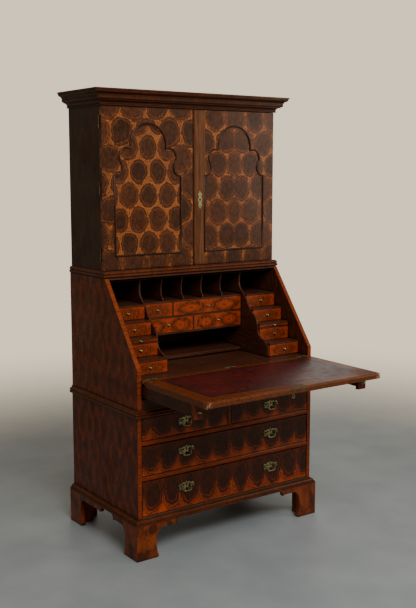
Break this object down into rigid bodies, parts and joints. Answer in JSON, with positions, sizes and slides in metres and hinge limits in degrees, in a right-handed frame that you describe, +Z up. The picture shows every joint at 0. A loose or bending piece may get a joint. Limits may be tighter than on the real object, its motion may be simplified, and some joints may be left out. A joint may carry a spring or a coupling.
{
  "type": "secretary desk",
  "caption": "Walnut secretary desk: a chest of drawers, a fall-front flap on pull-out supports over fitted drawers and pigeonholes, and a cabinet with arched-panel doors.",
  "frame": {"origin": "on the floor, under the centre of the bounding box with the flap open", "axes": "+Z up, +X to the right seen from the front, -Y out of the front"},
  "size_m": [1.092, 1.0978, 2.066],
  "materials": {
    "walnut": "polished, figured",
    "burr_walnut": "polished veneer with oval figure",
    "walnut_moulding": "polished",
    "plain_oak": "waxed, unpolished",
    "leather": "polished",
    "brass": "worn"
  },
  "bodies": {
    "root": {"chest_sides": "walnut", "chest_boards": "plain_oak", "dust_boards": "plain_oak", "drawer_rails": "walnut", "base_moulding": "walnut_moulding", "bracket_feet": "walnut", "waist_moulding": "walnut_moulding", "back_boards": "plain_oak", "desk_sides": "walnut", "desk_boards": "walnut", "writing_bed": "walnut", "desk_frieze": "walnut", "bank_partitions": "walnut", "bank_shelves": "walnut", "centre_shelves": "walnut", "pigeonhole_dividers": "walnut", "cabinet_sides": "walnut", "cabinet_boards": "walnut", "cabinet_moulding": "walnut_moulding", "cornice": "walnut_moulding", "fixed_hinge_leaves": "brass"},
    "flap": {"flap_board": "walnut", "flap_leather": "leather", "flap_hinge_leaves": "brass", "flap_lock": "brass"},
    "flap_key": {"flap_key": "brass"},
    "loper_left": {"loper_left": "walnut"},
    "loper_right": {"loper_right": "walnut"},
    "door_left": {"door_left_frame": "burr_walnut", "door_left_panel": "burr_walnut", "door_left_bead": "walnut_moulding", "door_left_hinges": "brass"},
    "door_right": {"door_right_frame": "burr_walnut", "door_right_panel": "burr_walnut", "door_right_bead": "walnut_moulding", "door_right_hinges": "brass"},
    "drawer_short_left": {"drawer_short_left": "burr_walnut"},
    "bail_short_left": {"bail_short_left": "brass"},
    "drawer_short_right": {"drawer_short_right": "burr_walnut"},
    "bail_short_right": {"bail_short_right": "brass"},
    "drawer_upper_long": {"drawer_upper_long": "burr_walnut"},
    "bail_upper_long_left": {"bail_upper_long_left": "brass"},
    "bail_upper_long_right": {"bail_upper_long_right": "brass"},
    "drawer_lower_long": {"drawer_lower_long": "burr_walnut"},
    "bail_lower_long_left": {"bail_lower_long_left": "brass"},
    "bail_lower_long_right": {"bail_lower_long_right": "brass"},
    "left_drawer_fourth": {"left_drawer_fourth": "burr_walnut"},
    "right_drawer_fourth": {"right_drawer_fourth": "burr_walnut"},
    "left_drawer_third": {"left_drawer_third": "burr_walnut"},
    "right_drawer_third": {"right_drawer_third": "burr_walnut"},
    "left_drawer_slim": {"left_drawer_slim": "burr_walnut"},
    "right_drawer_slim": {"right_drawer_slim": "burr_walnut"},
    "left_drawer_second": {"left_drawer_second": "burr_walnut"},
    "right_drawer_second": {"right_drawer_second": "burr_walnut"},
    "left_drawer_first": {"left_drawer_first": "burr_walnut"},
    "right_drawer_first": {"right_drawer_first": "burr_walnut"},
    "centre_drawer_lower_left": {"centre_drawer_lower_left": "burr_walnut"},
    "centre_drawer_lower_right": {"centre_drawer_lower_right": "burr_walnut"},
    "centre_drawer_upper_left": {"centre_drawer_upper_left": "burr_walnut"},
    "centre_drawer_upper_wide": {"centre_drawer_upper_wide": "burr_walnut"}
  },
  "joints": [
    {"name": "flap_hinge", "type": "hinge", "parent": "root", "child": "flap", "pos_m": [0, -0.06105, 0.81], "axis": [1, 0, 0], "range_deg": [-126.21, 0]},
    {"name": "flap_key_turn", "type": "hinge", "parent": "flap", "child": "flap_key", "pos_m": [-0.015, -0.52694, 0.784], "axis": [0, 0, 1], "range_deg": [0, 90]},
    {"name": "loper_left_slide", "type": "slide", "parent": "root", "child": "loper_left", "axis": [0, -1, 0], "range_m": [-0.4, 0]},
    {"name": "loper_right_slide", "type": "slide", "parent": "root", "child": "loper_right", "axis": [0, -1, 0], "range_m": [-0.4, 0]},
    {"name": "door_left_hinge", "type": "hinge", "parent": "root", "child": "door_left", "pos_m": [-0.492, 0.25669, 1.6265], "axis": [0, 0, -1], "range_deg": [0, 110]},
    {"name": "door_right_hinge", "type": "hinge", "parent": "root", "child": "door_right", "pos_m": [0.492, 0.25669, 1.6265], "axis": [0, 0, 1], "range_deg": [0, 110]},
    {"name": "drawer_short_left_slide", "type": "slide", "parent": "root", "child": "drawer_short_left", "axis": [0, -1, 0], "range_m": [0, 0.42]},
    {"name": "bail_short_left_swing", "type": "hinge", "parent": "drawer_short_left", "child": "bail_short_left", "pos_m": [-0.245, -0.07206, 0.60125], "axis": [-1, 0, 0], "range_deg": [0, 85]},
    {"name": "drawer_short_right_slide", "type": "slide", "parent": "root", "child": "drawer_short_right", "axis": [0, -1, 0], "range_m": [0, 0.42]},
    {"name": "bail_short_right_swing", "type": "hinge", "parent": "drawer_short_right", "child": "bail_short_right", "pos_m": [0.245, -0.07206, 0.60125], "axis": [-1, 0, 0], "range_deg": [0, 85]},
    {"name": "drawer_upper_long_slide", "type": "slide", "parent": "root", "child": "drawer_upper_long", "axis": [0, -1, 0], "range_m": [0, 0.42]},
    {"name": "bail_upper_long_left_swing", "type": "hinge", "parent": "drawer_upper_long", "child": "bail_upper_long_left", "pos_m": [-0.245, -0.07206, 0.463], "axis": [-1, 0, 0], "range_deg": [0, 85]},
    {"name": "bail_upper_long_right_swing", "type": "hinge", "parent": "drawer_upper_long", "child": "bail_upper_long_right", "pos_m": [0.245, -0.07206, 0.463], "axis": [-1, 0, 0], "range_deg": [0, 85]},
    {"name": "drawer_lower_long_slide", "type": "slide", "parent": "root", "child": "drawer_lower_long", "axis": [0, -1, 0], "range_m": [0, 0.42]},
    {"name": "bail_lower_long_left_swing", "type": "hinge", "parent": "drawer_lower_long", "child": "bail_lower_long_left", "pos_m": [-0.245, -0.07206, 0.29525], "axis": [-1, 0, 0], "range_deg": [0, 85]},
    {"name": "bail_lower_long_right_swing", "type": "hinge", "parent": "drawer_lower_long", "child": "bail_lower_long_right", "pos_m": [0.245, -0.07206, 0.29525], "axis": [-1, 0, 0], "range_deg": [0, 85]},
    {"name": "left_drawer_fourth_slide", "type": "slide", "parent": "root", "child": "left_drawer_fourth", "axis": [0, -1, 0], "range_m": [0, 0.2]},
    {"name": "right_drawer_fourth_slide", "type": "slide", "parent": "root", "child": "right_drawer_fourth", "axis": [0, -1, 0], "range_m": [0, 0.2]},
    {"name": "left_drawer_third_slide", "type": "slide", "parent": "root", "child": "left_drawer_third", "axis": [0, -1, 0], "range_m": [0, 0.2]},
    {"name": "right_drawer_third_slide", "type": "slide", "parent": "root", "child": "right_drawer_third", "axis": [0, -1, 0], "range_m": [0, 0.2]},
    {"name": "left_drawer_slim_slide", "type": "slide", "parent": "root", "child": "left_drawer_slim", "axis": [0, -1, 0], "range_m": [0, 0.2]},
    {"name": "right_drawer_slim_slide", "type": "slide", "parent": "root", "child": "right_drawer_slim", "axis": [0, -1, 0], "range_m": [0, 0.2]},
    {"name": "left_drawer_second_slide", "type": "slide", "parent": "root", "child": "left_drawer_second", "axis": [0, -1, 0], "range_m": [0, 0.2]},
    {"name": "right_drawer_second_slide", "type": "slide", "parent": "root", "child": "right_drawer_second", "axis": [0, -1, 0], "range_m": [0, 0.2]},
    {"name": "left_drawer_first_slide", "type": "slide", "parent": "root", "child": "left_drawer_first", "axis": [0, -1, 0], "range_m": [0, 0.2]},
    {"name": "right_drawer_first_slide", "type": "slide", "parent": "root", "child": "right_drawer_first", "axis": [0, -1, 0], "range_m": [0, 0.2]},
    {"name": "centre_drawer_lower_left_slide", "type": "slide", "parent": "root", "child": "centre_drawer_lower_left", "axis": [0, -1, 0], "range_m": [0, 0.17]},
    {"name": "centre_drawer_lower_right_slide", "type": "slide", "parent": "root", "child": "centre_drawer_lower_right", "axis": [0, -1, 0], "range_m": [0, 0.17]},
    {"name": "centre_drawer_upper_left_slide", "type": "slide", "parent": "root", "child": "centre_drawer_upper_left", "axis": [0, -1, 0], "range_m": [0, 0.17]},
    {"name": "centre_drawer_upper_wide_slide", "type": "slide", "parent": "root", "child": "centre_drawer_upper_wide", "axis": [0, -1, 0], "range_m": [0, 0.17]}
  ]
}
